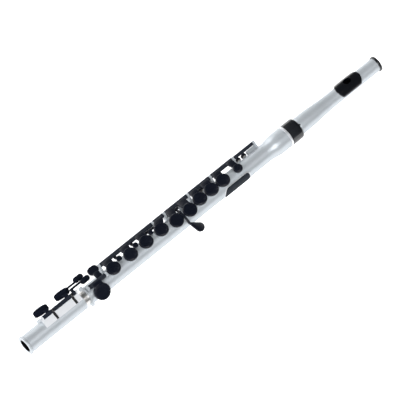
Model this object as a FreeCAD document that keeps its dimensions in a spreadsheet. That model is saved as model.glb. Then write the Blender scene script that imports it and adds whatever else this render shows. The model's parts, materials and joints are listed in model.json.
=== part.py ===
import FreeCAD, Part
import math
import os

import Sketcher

# Concert flute in C with a Boehm key system, in moulded plastic.
# Frame: +X runs along the bore from the foot's open mouth to the crown, +Z is up through the
# main row of keys, and +Y is the player's side, where the long rods are. Millimetres.
# Round about the bore, an angle is measured from +Z towards +Y.

DIMENSIONS = {
    # tube and its three joints
    "bore_radius": 9.5,
    "tube_radius": 13.0,
    "flute_end": 651.6,
    "foot_rim_radius": 14.2,
    "foot_end": 101.0,
    "foot_socket_start": 92.0,
    "foot_socket_radius": 10.75,
    "sleeve_radius": 10.7,
    "sleeve_start": 92.4,
    "sleeve_end": 125.0,
    "body_start": 109.5,
    "flange_radius": 16.0,
    "flange_width": 1.5,
    "flare_start": 437.0,
    "flare_end": 460.0,
    "flare_radius": 15.6,
    "ring_start": 474.5,
    "collar_start": 477.5,
    "collar_end": 497.7,
    "collar_radius": 16.0,
    "collar_seat_radius": 14.4,
    "socket_start": 436.0,
    "socket_radius": 12.05,
    "head_start": 438.0,
    "tenon_radius": 12.0,
    "head_shoulder": 498.5,
    "head_root_radius": 12.85,
    "head_neck_radius": 10.5,
    "head_tip_radius": 10.3,
    "head_end": 645.0,
    "head_bore_radius": 8.6,
    # embouchure
    "lip_centre": 593.0,
    "lip_half_length": 21.5,
    "lip_radius": 12.9,
    "lip_half_width": 17.0,
    "lip_edge_angle": 32.0,
    "lip_edge_depth": 1.4,
    "blow_hole_x": 593.8,
    "blow_hole_angle": 15.0,
    "blow_hole_long": 6.1,
    "blow_hole_short": 5.2,
    # stopper and crown
    "stopper_face": 611.1,
    "stopper_length": 10.0,
    "stopper_radius": 8.5,
    "stopper_screw_radius": 2.0,
    "crown_radius": 12.1,
    # hinge lines, each parallel to X
    "main_rod_y": 17.7,
    "main_rod_z": 14.0,
    "trill_rod_y": 20.2,
    "trill_rod_z": 7.4,
    "lever_rod_y": 14.3,
    "lever_rod_z": 8.6,
    "thumb_rod_y": 16.6,
    "thumb_rod_z": 3.8,
    "d_sharp_rod_y": 0.5,
    "d_sharp_rod_z": 19.0,
    "foot_rod_y": 7.5,
    "foot_rod_z": 20.6,
    "rod_radius": 1.2,
    "thin_rod_radius": 1.0,
    "hinge_clearance": 0.06,
    "hinge_tube_radius": 3.3,
    "thin_tube_radius": 1.8,
    # tone holes and cups
    "seat_radius": 14.6,
    "chimney_radius": 8.0,
    "tone_hole_radius": 6.5,
    "pad_gap": 0.12,
    "pad_thickness": 2.0,
    "pad_proud": 0.9,
    "cup_radius": 10.3,
    "cup_height": 4.2,
    "cup_bevel": 1.1,
    "pad_margin": 1.4,
    "arm_width": 10.0,
    "arm_thickness": 3.2,
    "small_cup_radius": 6.8,
    "foot_cup_radius": 11.5,
    "foot_cup_height": 7.2,
    "foot_seat_radius": 16.6,
    "d_sharp_cup_radius": 12.0,
    "thumb_cup_radius": 7.4,
    "g_sharp_cup_radius": 7.0,
    "trill_cup_radius": 4.2,
    # foot block
    "block_start": 36.0,
    "block_end": 99.9,
    "block_face": 13.3,
    "block_back": 11.5,
    "block_low": 0.6,
    "block_tilt": 21.0,
    # hand rest
    "rest_start": 349.0,
    "rest_end": 397.5,
    "rest_radius": 14.4,
    "rest_seat_radius": 13.5,
    "floor_depth": 16.0,
}

doc = FreeCAD.newDocument("ConcertFlute")
sheet = doc.addObject("Spreadsheet::Sheet", "Dims")
for row, (alias, number) in enumerate(DIMENSIONS.items(), start=1):
    sheet.set("A%d" % row, alias)
    sheet.set("B%d" % row, str(number))
    sheet.setAlias("B%d" % row, alias)
doc.recompute()


class Size:
    """A length built from the sheet's cells: its formula, and its value now."""

    def __init__(self, formula, value):
        self.formula = formula
        self.value = value

    def combine(self, other, sign):
        value = amount(other)
        total = {"+": self.value + value, "-": self.value - value, "*": self.value * value}[sign]
        return Size("(%s %s %s)" % (self.formula, sign, formula_of(other)), total)

    def __add__(self, other):
        return self.combine(other, "+")

    def __sub__(self, other):
        return self.combine(other, "-")

    def __mul__(self, other):
        return self.combine(other, "*")


def amount(size):
    return size.value if isinstance(size, Size) else float(size)


def formula_of(size):
    return size.formula if isinstance(size, Size) else repr(float(size))


def cell(alias):
    return Size("Dims." + alias, float(sheet.get(alias)))


def line_at(prefix):
    """The Y and Z of a hinge line."""
    return amount(cell(prefix + "_y")), amount(cell(prefix + "_z"))


BORE = cell("bore_radius")
TUBE = cell("tube_radius")
PAD_GAP = cell("pad_gap")
PAD_PROUD = cell("pad_proud")
PAD_THICKNESS = cell("pad_thickness")
CUP_HEIGHT = cell("cup_height")
CUP_BEVEL = cell("cup_bevel")
ARM_WIDTH = cell("arm_width")
ARM_THICKNESS = cell("arm_thickness")
HINGE_TUBE = cell("hinge_tube_radius")
THIN_TUBE = cell("thin_tube_radius")
ROD = cell("rod_radius")
THIN_ROD = cell("thin_rod_radius")
FIT = cell("hinge_clearance")
SEAT = cell("seat_radius")

MAIN_LINE = line_at("main_rod")
TRILL_LINE = line_at("trill_rod")
LEVER_LINE = line_at("lever_rod")
THUMB_LINE = line_at("thumb_rod")
D_SHARP_LINE = line_at("d_sharp_rod")
FOOT_LINE = line_at("foot_rod")

X_AXIS = FreeCAD.Vector(1, 0, 0)
Y_AXIS = FreeCAD.Vector(0, 1, 0)
Z_AXIS = FreeCAD.Vector(0, 0, 1)
ALONG_X = FreeCAD.Rotation(Y_AXIS, 90)

nodes = {}


# ---- small building functions -------------------------------------------------------------

def publish(label, thing):
    """Name a finished sub-part; its label is its file's name."""
    thing.Label = label
    nodes[label] = thing
    return thing


def bind(thing, prop, size):
    setattr(thing, prop, amount(size))
    if isinstance(size, Size):
        thing.setExpression(prop, size.formula)


def polar(radius, degrees):
    """Y and Z of a point at this distance from the bore's axis."""
    turn = math.radians(degrees)
    return radius * math.sin(turn), radius * math.cos(turn)


def rod_between(name, line, x_from, x_to, radius):
    """A round bar along X, on the line given by its Y and Z."""
    bar = doc.addObject("Part::Cylinder", name)
    bind(bar, "Radius", radius)
    bind(bar, "Height", Size(formula_of(x_to), amount(x_to)) - x_from)
    bar.Placement = FreeCAD.Placement(FreeCAD.Vector(amount(x_from), *line), ALONG_X)
    if isinstance(x_from, Size):
        bar.setExpression(".Placement.Base.x", x_from.formula)
    return bar


def radial_bar(name, x, degrees, from_radius, to_radius, radius, end_radius=None):
    """A round bar, or a cone if end_radius is given, that stands out from the bore's axis."""
    kind = "Part::Cylinder" if end_radius is None else "Part::Cone"
    bar = doc.addObject(kind, name)
    if end_radius is None:
        bind(bar, "Radius", radius)
    else:
        bind(bar, "Radius1", radius)
        bind(bar, "Radius2", end_radius)
    bind(bar, "Height", Size(formula_of(to_radius), amount(to_radius)) - from_radius)
    y, z = polar(amount(from_radius), degrees)
    bar.Placement = FreeCAD.Placement(FreeCAD.Vector(x, y, z), FreeCAD.Rotation(X_AXIS, -degrees))
    return bar


def beam(name, x, width, start, end, thickness):
    """A flat bar of this width along X, from one (Y, Z) point to another."""
    bar = doc.addObject("Part::Box", name)
    bind(bar, "Length", width)
    bind(bar, "Width", thickness)
    across, up = end[0] - start[0], end[1] - start[1]
    bar.Height = math.hypot(across, up)
    turn = math.atan2(-across, up)
    half = amount(thickness) / 2
    corner = FreeCAD.Vector(x - amount(width) / 2,
                            start[0] - half * math.cos(turn),
                            start[1] - half * math.sin(turn))
    bar.Placement = FreeCAD.Placement(corner, FreeCAD.Rotation(X_AXIS, math.degrees(turn)))
    return bar


def bent_arm(name, x, width, points, thickness):
    """Flat bars through the points, with a round knuckle at each bend and at the far end."""
    pieces = []
    for start, end in zip(points, points[1:]):
        pieces.append(beam(name + "_bar", x, width, start, end, thickness))
        pieces.append(rod_between(name + "_knuckle", end, x - amount(width) / 2,
                                  x + amount(width) / 2, thickness * 0.5))
    return pieces


def box_at(name, low, size, degrees=0.0):
    """A block whose corner and axes turn with the angle about X, through the bore's axis."""
    block = doc.addObject("Part::Box", name)
    for prop, length in zip(("Length", "Width", "Height"), size):
        bind(block, prop, length)
    turn = FreeCAD.Rotation(X_AXIS, degrees)
    corner = turn.multVec(FreeCAD.Vector(*[amount(value) for value in low]))
    block.Placement = FreeCAD.Placement(corner, turn)
    return block


def fuse(name, pieces):
    if len(pieces) == 1:
        return pieces[0]
    joined = doc.addObject("Part::MultiFuse", name)
    joined.Shapes = pieces
    joined.Refine = True
    return joined


def cut(name, base, tools):
    made = doc.addObject("Part::Cut", name)
    made.Base = base
    made.Tool = fuse(name + "_tools", tools)
    return made


def common(name, first, second):
    made = doc.addObject("Part::Common", name)
    made.Base = first
    made.Tool = second
    return made


def turned(name, outline):
    """A PartDesign body turned about X. An outline point is (x, radius) or, where the stretch
    that ends there is an arc, (x, radius, sagitta)."""
    body = doc.addObject("PartDesign::Body", name)
    sketch = body.newObject("Sketcher::SketchObject", name + "_outline")
    plane = [item for item in body.Origin.OriginFeatures if item.Role == "XZ_Plane"][0]
    sketch.AttachmentSupport = [(plane, "")]
    sketch.MapMode = "FlatFace"
    corners = [FreeCAD.Vector(amount(point[0]), amount(point[1]), 0) for point in outline]
    count = len(outline)
    for index in range(count):
        start, end = corners[index], corners[(index + 1) % count]
        target = outline[(index + 1) % count]
        if len(target) == 3:
            sketch.addGeometry(arc_through(start, end, target[2]), False)
        else:
            sketch.addGeometry(Part.LineSegment(start, end), False)
    ends = [arc_ends(sketch, index, corners[index]) for index in range(count)]
    for index in range(count):
        following = (index + 1) % count
        sketch.addConstraint(Sketcher.Constraint("Coincident", index, ends[index][1],
                                                 following, ends[following][0]))
    for index, point in enumerate(outline):
        for axis, size in (("X", point[0]), ("Y", point[1])):
            pin = Sketcher.Constraint("Distance" + axis, -1, 1, index, ends[index][0], amount(size))
            number = sketch.addConstraint(pin)
            if isinstance(size, Size):
                sketch.renameConstraint(number, "%s%d" % (axis.lower(), index))
                sketch.setExpression("Constraints.%s%d" % (axis.lower(), index), size.formula)
    turn = body.newObject("PartDesign::Revolution", name + "_turn")
    turn.Profile = sketch
    turn.ReferenceAxis = (sketch, ["H_Axis"])
    turn.Angle = 360
    body.Tip = turn
    return body


def arc_through(start, end, sagitta):
    """The arc from start to end that bulges to the left of the run by its sagitta."""
    run = end - start
    left = FreeCAD.Vector(-run.y, run.x, 0).normalize()
    radius = (run.Length ** 2 / 4 + sagitta ** 2) / (2 * abs(sagitta))
    offset = sagitta - math.copysign(radius, sagitta)
    centre = (start + end) * 0.5 + left * offset
    first, last = (end, start) if sagitta > 0 else (start, end)
    angles = [math.atan2(point.y - centre.y, point.x - centre.x) for point in (first, last)]
    if angles[1] < angles[0]:
        angles[1] += 2 * math.pi
    return Part.ArcOfCircle(Part.Circle(centre, Z_AXIS, radius), angles[0], angles[1])


def arc_ends(sketch, index, start):
    """Which end of a stretch is its start: an arc may be stored the other way round."""
    stored = sketch.Geometry[index].StartPoint
    return (1, 2) if stored.distanceToPoint(start) < 1e-6 else (2, 1)


def eased(x_from, radius_from, x_to, radius_to):
    """Two arcs that lead smoothly from one radius to another, as outline points."""
    middle = (x_from + x_to) * 0.5
    mean = (radius_from + radius_to) * 0.5
    sagitta = (amount(radius_to) - amount(radius_from)) / 8
    return [(middle, mean, -sagitta), (x_to, radius_to, sagitta)]


def o_ring(label, x, centre_radius, wire_radius):
    ring = doc.addObject("Part::Torus", label)
    bind(ring, "Radius1", centre_radius)
    bind(ring, "Radius2", wire_radius)
    ring.Placement = FreeCAD.Placement(FreeCAD.Vector(x, 0, 0), ALONG_X)
    return ring


def swing(thing, line, degrees):
    """Turn a finished sub-part about its hinge line, to where it stands at rest."""
    centre = FreeCAD.Vector(0, *line)
    turn = FreeCAD.Placement(FreeCAD.Vector(0, 0, 0), FreeCAD.Rotation(X_AXIS, degrees), centre)
    thing.Placement = turn.multiply(thing.Placement)


# ---- key parts ----------------------------------------------------------------------------

def cup(name, x, degrees, seat, radius, height=CUP_HEIGHT):
    """A bevelled cup over its seat, the recess for its pad, and the pad."""
    under = seat + PAD_GAP + PAD_PROUD
    top = under + height
    wall = radial_bar(name + "_wall", x, degrees, under, top - CUP_BEVEL, radius)
    bevel = radial_bar(name + "_bevel", x, degrees, top - CUP_BEVEL, top, radius, radius - CUP_BEVEL)
    pad_radius = radius - cell("pad_margin")
    pad_top = seat + PAD_GAP + PAD_THICKNESS
    recess = radial_bar(name + "_recess", x, degrees, seat, pad_top, pad_radius)
    pad = radial_bar(name + "_pad", x, degrees, seat + PAD_GAP, pad_top, pad_radius)
    return [wall, bevel], recess, pad


def key(label, line, tube, solids, hollows, pads, rod, rest_degrees):
    """Finish a key on its hinge line: its tube is bored for the rod, and it stands at rest."""
    bores = [rod_between(label + "_bore", line, start - 1, end + 1, rod + FIT) for start, end in tube]
    made = publish(label, cut(label, fuse(label + "_solid", solids), bores + hollows))
    swing(made, line, rest_degrees)
    if pads:
        pad = publish(label + "_pad", fuse(label + "_pad", pads))
        swing(pad, line, rest_degrees)
    return made


def main_key(label, cups, tube, arms, degrees=0.0):
    """A key of the main row: cups on one tube of the main hinge line, which stands open."""
    start, end = tube
    solids = [rod_between(label + "_tube", MAIN_LINE, start, end, HINGE_TUBE)]
    hollows, pads = [], []
    for x, radius in cups:
        walls, recess, pad = cup(label + "_cup", x, degrees, SEAT, radius)
        solids += walls
        hollows.append(recess)
        pads.append(pad)
    for (x_rod, x_cup), (_, radius) in zip(arms, cups):
        solids.append(cup_arm(label + "_arm", x_rod, x_cup, degrees, amount(radius)))
    return key(label, MAIN_LINE, [tube], solids, hollows, pads, ROD, -OPEN_DEGREES)


def cup_arm(name, x_rod, x_cup, degrees, radius):
    """A flat arm from the main hinge line into the side of a cup, slanting if the cup is offset."""
    mid_cup = polar(amount(SEAT + PAD_PROUD + CUP_HEIGHT * 0.5), degrees)
    slope = math.radians(degrees)
    tip = (mid_cup[0] + radius * 0.62 * math.cos(slope), mid_cup[1] - radius * 0.62 * math.sin(slope))
    root = (MAIN_LINE[0], MAIN_LINE[1] + 0.6)
    arm = beam(name, x_rod, ARM_WIDTH, root, tip, ARM_THICKNESS)
    if x_rod != x_cup:
        skew = math.degrees(math.atan2(x_rod - x_cup, root[0] - mid_cup[0]))
        slant = FreeCAD.Placement(FreeCAD.Vector(0, 0, 0), FreeCAD.Rotation(Z_AXIS, -skew),
                                  FreeCAD.Vector(x_rod, *root))
        arm.Placement = slant.multiply(arm.Placement)
    return arm


OPEN_DEGREES = 7.5
BIG = cell("cup_radius")
SMALL = cell("small_cup_radius")

# Cup centres along the bore, from the foot to the crown.
D_CUP, E_CUP, F_CUP, F_SHARP_CUP = 159.3, 190.4, 218.7, 246.3
LOW_G_CUP, HIGH_G_CUP = 271.0, 295.4
A_CUP, A_SHARP_CUP, C_CUP, C_SHARP_CUP = 316.7, 338.1, 359.1, 386.8
G_OFFSET_DEGREES = -12.0

# Posts that carry the rods, by the middle of each post.
POSTS = {"first": 148.1, "f_sharp": 245.2, "low_g": 266.1, "a": 309.6, "c": 350.8, "last": 392.9}
POST_WIDTH = 3.2
HALF_POST = POST_WIDTH / 2
END_PLAY = 0.25


def between_posts(first, second):
    return POSTS[first] + HALF_POST + END_PLAY, POSTS[second] - HALF_POST - END_PLAY


# ---- body joint ---------------------------------------------------------------------------

def post(x, lines):
    """A post at x: for each hinge line, a web up from the tube and an eye about the line."""
    pieces = []
    for line, eye in lines:
        radius = math.hypot(*line)
        web_start = tuple(part * 11.3 / radius for part in line)
        pieces.append(beam("post_web", x, POST_WIDTH, web_start, line, eye * 1.5))
        pieces.append(rod_between("post_eye", line, x - HALF_POST, x + HALF_POST, eye))
    return pieces


def tone_hole(name, x, degrees, seat, chimney, hole):
    """A chimney that stands out to its seat, and the hole that is cut through it."""
    wall = radial_bar(name + "_chimney", x, degrees, 11.3, seat, chimney)
    through = radial_bar(name + "_hole", x, degrees, 4.0, seat + 1.0, hole)
    return wall, through


def make_body_tube():
    start, flare = cell("body_start"), cell("flare_radius")
    flange_end = start + cell("flange_width")
    core = turned("body_core", [
        (start, 0.0),
        (start, cell("flange_radius")),
        (flange_end, cell("flange_radius")),
        (flange_end, TUBE),
        (cell("flare_start"), TUBE),
    ] + eased(cell("flare_start"), TUBE, cell("flare_end"), flare) + [
        (cell("ring_start") - 0.9, flare),
        (cell("ring_start") - 0.9, cell("collar_seat_radius")),
        (cell("collar_end") - 1.7, cell("collar_seat_radius")),
        (cell("collar_end") - 1.7, 0.0),
    ])
    solids, holes = [core], []
    main_holes = [(x, 0.0) for x in (D_CUP, E_CUP, F_CUP, F_SHARP_CUP, A_CUP, A_SHARP_CUP, C_CUP)]
    main_holes += [(x, G_OFFSET_DEGREES) for x in (LOW_G_CUP, HIGH_G_CUP)]
    for x, degrees in main_holes:
        wall, through = tone_hole("main", x, degrees, SEAT, cell("chimney_radius"),
                                  cell("tone_hole_radius"))
        solids.append(wall)
        holes.append(through)
    for x, degrees, chimney, hole in (
            (C_SHARP_CUP, 0.0, 5.0, 3.6),
            (D_SHARP_CUP_X, D_SHARP_DEGREES, 9.6, 7.6),
            (G_SHARP_CUP_X, G_SHARP_DEGREES, 6.0, 4.8),
            (THUMB_CUP_X, THUMB_DEGREES, 6.0, 4.8),
            (D_TRILL_CUP_X, TRILL_DEGREES, 2.9, 1.9),
            (D_SHARP_TRILL_CUP_X, TRILL_DEGREES, 2.9, 1.9)):
        wall, through = tone_hole("side", x, degrees, SEAT, chimney, hole)
        solids.append(wall)
        holes.append(through)
    for name, x in POSTS.items():
        lines = [(MAIN_LINE, 3.3), (TRILL_LINE, 2.9)]
        if name == "low_g":
            lines.append((LEVER_LINE, 2.4))
        if name == "f_sharp":
            lines.append((LEVER_LINE, 2.4))
        if name == "c":
            lines.append((THUMB_LINE, 2.6))
        solids += post(x, lines)
    solids += post(TRILL_END_POST, [(TRILL_LINE, 2.9)])
    solids += post(SIDE_LEVER_POST, [(LEVER_LINE, 2.4)])
    solids += post(G_SHARP_POST, [(LEVER_LINE, 2.4)])
    solids += post(THUMB_POST, [(THUMB_LINE, 2.6)])
    for x in D_SHARP_POSTS:
        solids += post(x, [(D_SHARP_LINE, 3.1)])
    solids.append(box_at("trill_ledge", (418.0, 11.0, -4.0), (14.5, 7.4, 6.6), 8.0))
    solids.append(box_at("thumb_saddle", (352.6, 9.2, 0.0 - cell("floor_depth").value), (9.0, 2.8, 9.0)))
    solids.append(arc_shell("rest_seat", cell("rest_start") - 2.6, cell("rest_end") + 2.6,
                            cell("rest_seat_radius"), -100.0, 66.0))
    bores = [
        rod_between("body_bore", (0, 0), start - 1, cell("collar_end") + 1, BORE),
        rod_between("sleeve_seat", (0, 0), start - 1, cell("sleeve_end"), cell("sleeve_radius")),
        rod_between("head_socket", (0, 0), cell("socket_start"), cell("collar_end") + 1,
                    cell("socket_radius")),
        rod_between("main_rod_hole", MAIN_LINE, 140.0, 400.0, ROD),
        rod_between("trill_shaft_hole", TRILL_LINE, 140.0, 440.0, THIN_ROD + FIT),
        rod_between("trill_tube_hole", TRILL_LINE, 200.0, 400.0, THIN_TUBE + FIT),
        rod_between("lever_rod_hole", LEVER_LINE, 215.0, 300.0, THIN_ROD),
        rod_between("thumb_rod_hole", THUMB_LINE, 310.0, 360.0, THIN_ROD),
        rod_between("d_sharp_rod_hole", D_SHARP_LINE, 105.0, 150.0, THIN_ROD),
    ]
    publish("body_tube", cut("body_tube", fuse("body_solid", solids), bores + holes))


def arc_shell(name, x_from, x_to, radius, first_degrees, sweep):
    """A solid sector about the bore's axis, from one angle round by the sweep."""
    sector = doc.addObject("Part::Cylinder", name)
    bind(sector, "Radius", radius)
    bind(sector, "Height", x_to - x_from)
    sector.Angle = sweep
    turn = ALONG_X.multiply(FreeCAD.Rotation(Z_AXIS, 180.0 - first_degrees - sweep))
    sector.Placement = FreeCAD.Placement(FreeCAD.Vector(amount(x_from), 0, 0), turn)
    return sector


def make_body_fittings():
    sleeve = rod_between("sleeve_wall", (0, 0), cell("sleeve_start"), cell("sleeve_end"),
                         cell("sleeve_radius"))
    hollow = rod_between("sleeve_bore", (0, 0), cell("sleeve_start") - 1, cell("sleeve_end") + 1, BORE)
    publish("foot_tenon_sleeve", cut("foot_tenon_sleeve", sleeve, [hollow]))

    seat, outer = cell("collar_seat_radius"), cell("collar_radius")
    ring_start, collar_start, collar_end = cell("ring_start"), cell("collar_start"), cell("collar_end")
    publish("socket_ring", turned("socket_ring", [
        (ring_start, seat),
        (ring_start, outer - 0.7),
        (ring_start + 0.6, outer - 0.1),
        (collar_start - 0.4, outer - 0.1),
        (collar_start, outer - 0.5),
        (collar_start, seat),
    ]))
    collar = turned("collar_wall", [
        (collar_start, seat),
        (collar_start, outer - 0.4),
        (collar_start + 0.4, outer),
        (collar_end - 3.6, outer),
        (collar_end, outer - 2.6, 0.85),
        (collar_end, cell("socket_radius") + 0.1),
        (collar_end - 1.7, cell("socket_radius") + 0.1),
        (collar_end - 1.7, seat),
    ])
    mark = box_at("index_mark", (collar_end - 1.5, -1.1, 13.15), (2.7, 2.2, 1.5), 18.0)
    publish("socket_collar", fuse("socket_collar", [collar, mark]))

    rest = arc_shell("rest_sector", cell("rest_start"), cell("rest_end"), cell("rest_radius"), -96.0, 58.0)
    inner = rod_between("rest_inner", (0, 0), 340.0, 405.0, cell("rest_seat_radius"))
    slant = box_at("rest_slant", (cell("rest_start") - 12.0, -14.0, 0.0), (12.0, 28.0, 20.0), 67.0)
    slant.Placement = slant.Placement.multiply(
        FreeCAD.Placement(FreeCAD.Vector(0, 0, 0), FreeCAD.Rotation(Z_AXIS, -14.0),
                          FreeCAD.Vector(12.0, 14.0, 0)))
    publish("hand_rest_pad", cut("hand_rest_pad", rest, [inner, slant]))

    publish("main_rods", fuse("main_rods", [
        rod_between("right_rod", MAIN_LINE, POSTS["first"] - 2.2, POSTS["low_g"], ROD),
        rod_between("g_rod", MAIN_LINE, POSTS["low_g"] + 0.3, POSTS["a"], ROD),
        rod_between("left_rod", MAIN_LINE, POSTS["a"] + 0.3, POSTS["last"] + 2.0, ROD)]))
    publish("lever_rods", fuse("lever_rods", [
        rod_between("side_rod", LEVER_LINE, SIDE_LEVER_POST - 1.8, POSTS["f_sharp"] + 1.8, THIN_ROD),
        rod_between("g_sharp_rod", LEVER_LINE, POSTS["low_g"] - 1.8, G_SHARP_POST + 1.8, THIN_ROD)]))
    publish("thumb_rod", rod_between("thumb_rod", THUMB_LINE, THUMB_POST - 1.8, POSTS["c"] + 1.8, THIN_ROD))
    publish("d_sharp_rod", rod_between("d_sharp_rod", D_SHARP_LINE, D_SHARP_POSTS[0] - 1.6,
                                       D_SHARP_POSTS[1] + 1.6, THIN_ROD))
    wires = []
    below_rod = (MAIN_LINE[0] - 0.2, MAIN_LINE[1] - 4.3)
    for name, direction in (("first", 1), ("f_sharp", 1), ("low_g", 1), ("a", -1), ("a", 1),
                            ("c", -1), ("c", 1), ("last", -1)):
        fixed = POSTS[name]
        reach = sorted((fixed, fixed + direction * 13.0))
        wires.append(rod_between("spring_wire", below_rod, reach[0], reach[1], 0.3))
    publish("key_springs", fuse("key_springs", wires))


# ---- keys of the body joint ---------------------------------------------------------------

D_SHARP_CUP_X, D_SHARP_DEGREES = 127.0, -45.0
D_SHARP_CUP_HEIGHT = 6.2
D_SHARP_POSTS = (113.4, 146.0)
G_SHARP_CUP_X, G_SHARP_DEGREES, G_SHARP_POST = 276.0, 105.0, 291.0
G_SHARP_ARM_X = (LOW_G_CUP + HIGH_G_CUP) / 2
THUMB_CUP_X, THUMB_DEGREES, THUMB_POST = 341.0, 112.0, 318.0
TRILL_DEGREES, TRILL_END_POST = 95.0, 433.6
D_TRILL_CUP_X, D_SHARP_TRILL_CUP_X = 402.7, 412.9
SIDE_LEVER_POST = 222.0
UNDER_MAIN_ROD = (12.9, 10.3)


def make_main_keys():
    first, f_sharp_post = between_posts("first", "f_sharp")
    break_d, break_e = 175.2, 204.9
    main_key("d_key", [(D_CUP, BIG)], (first, break_d), [(D_CUP, D_CUP)])
    main_key("e_key", [(E_CUP, BIG)], (break_d + END_PLAY, break_e), [(E_CUP, E_CUP)])
    main_key("f_key", [(F_CUP, BIG)], (break_e + END_PLAY, f_sharp_post), [(F_CUP, F_CUP)])
    main_key("f_sharp_key", [(F_SHARP_CUP, BIG)], between_posts("f_sharp", "low_g"),
             [(F_SHARP_CUP + 7.4, F_SHARP_CUP)])
    main_key("g_key", [(LOW_G_CUP, BIG), (HIGH_G_CUP, BIG)], between_posts("low_g", "a"),
             [(LOW_G_CUP + 2.2, LOW_G_CUP + 2.2), (HIGH_G_CUP, HIGH_G_CUP)], G_OFFSET_DEGREES)
    a_start, a_sharp_end = between_posts("a", "c")
    break_a = 327.2
    main_key("a_key", [(A_CUP, BIG)], (a_start, break_a), [(A_CUP, A_CUP)])
    main_key("a_sharp_key", [(A_SHARP_CUP, BIG)], (break_a + END_PLAY, a_sharp_end),
             [(A_SHARP_CUP, A_SHARP_CUP)])
    main_key("index_key", [(C_CUP, BIG), (C_SHARP_CUP, SMALL)], between_posts("c", "last"),
             [(C_CUP, C_CUP), (C_SHARP_CUP - 0.9, C_SHARP_CUP - 0.9)])


def make_d_sharp_key():
    label, line = "d_sharp_key", D_SHARP_LINE
    tube = (D_SHARP_POSTS[0] + HALF_POST + END_PLAY, D_SHARP_POSTS[1] - HALF_POST - END_PLAY)
    walls, recess, pad = cup(label + "_cup", D_SHARP_CUP_X, D_SHARP_DEGREES, SEAT,
                             cell("d_sharp_cup_radius"), D_SHARP_CUP_HEIGHT)
    solids = [rod_between(label + "_tube", line, tube[0], tube[1], 3.4)] + walls
    middle = polar(amount(SEAT) + 5.0, D_SHARP_DEGREES)
    solids.append(beam(label + "_arm", D_SHARP_CUP_X, 15.0, (0.0, 21.0), middle, 2.8))
    touch_x, touch_half = 136.8, 8.2
    solids.append(beam(label + "_stem", touch_x, 10.0, line, (13.0, 18.6), 2.8))
    solids += touch_plate(label + "_touch", touch_x, touch_half, 17.0, 6.4, 18.4, 3.2)
    key(label, line, [tube], solids, [recess], [pad], THIN_ROD, 0.0)


def touch_plate(name, x, half_length, y, half_width, z, thickness):
    """A flat finger touch with round ends along X, seen from above."""
    inner = half_length - half_width
    pieces = []
    for end in (x - inner, x + inner):
        disc = doc.addObject("Part::Cylinder", name + "_end")
        bind(disc, "Radius", half_width)
        bind(disc, "Height", thickness)
        disc.Placement = FreeCAD.Placement(FreeCAD.Vector(end, y, z - thickness / 2), FreeCAD.Rotation())
        pieces.append(disc)
    pieces.append(box_at(name + "_middle", (x - inner, y - half_width, z - thickness / 2),
                         (2 * inner, 2 * half_width, thickness)))
    return pieces


def make_g_sharp_key():
    label, line = "g_sharp_key", LEVER_LINE
    tube = (POSTS["low_g"] + HALF_POST + END_PLAY, G_SHARP_POST - HALF_POST - END_PLAY)
    walls, recess, pad = cup(label + "_cup", G_SHARP_CUP_X, G_SHARP_DEGREES, SEAT,
                             cell("g_sharp_cup_radius"))
    solids = [rod_between(label + "_tube", line, tube[0], tube[1], THIN_TUBE)] + walls
    back = polar(amount(SEAT) + 3.8, G_SHARP_DEGREES)
    solids += bent_arm(label + "_back_arm", G_SHARP_CUP_X, 5.0, [line, polar(17.6, 82.0), back], 2.6)
    over = [line, (9.9, 13.9), (4.0, 18.4), (-7.0, 18.2), (-17.0, 13.6)]
    solids += bent_arm(label + "_arm", G_SHARP_ARM_X, 3.0, over, 2.6)
    solids.append(make_spatula())
    key(label, line, [tube], solids, [recess], [pad], THIN_ROD, 0.0)


def make_spatula():
    """The little finger's teardrop: a round end and a neck whose sides are tangent to it."""
    end_radius, thickness = 6.6, 2.6
    centre = (G_SHARP_ARM_X + 8.4, 13.3)
    root_left, root_right = (G_SHARP_ARM_X - 1.5, 0.0), (G_SHARP_ARM_X + 1.5, 0.0)
    outline = [root_left, root_right, touch_point(root_right, centre, end_radius, -1),
               touch_point(root_left, centre, end_radius, 1)]
    neck = doc.addObject("Part::Polygon", "spatula_outline")
    neck.Nodes = [FreeCAD.Vector(x, -reach, 0) for x, reach in outline]
    neck.Close = True
    plate = doc.addObject("Part::Extrusion", "spatula_neck")
    plate.Base = neck
    plate.Dir = Z_AXIS
    plate.LengthFwd = thickness
    plate.Solid = True
    end = doc.addObject("Part::Cylinder", "spatula_end")
    end.Radius = end_radius
    end.Height = thickness
    end.Placement = FreeCAD.Placement(FreeCAD.Vector(centre[0], -centre[1], 0), FreeCAD.Rotation())
    spatula = fuse("spatula", [plate, end])
    spatula.Placement = FreeCAD.Placement(FreeCAD.Vector(0, -15.0, 13.2), FreeCAD.Rotation(X_AXIS, 24.0))
    return spatula


def touch_point(point, centre, radius, side):
    """Where a line from the point touches the circle, on its left side (1) or right side (-1)."""
    across, along = centre[0] - point[0], centre[1] - point[1]
    distance = math.hypot(across, along)
    heading = math.atan2(along, across) + side * math.asin(radius / distance)
    length = math.sqrt(distance ** 2 - radius ** 2)
    return point[0] + length * math.cos(heading), point[1] + length * math.sin(heading)


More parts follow.
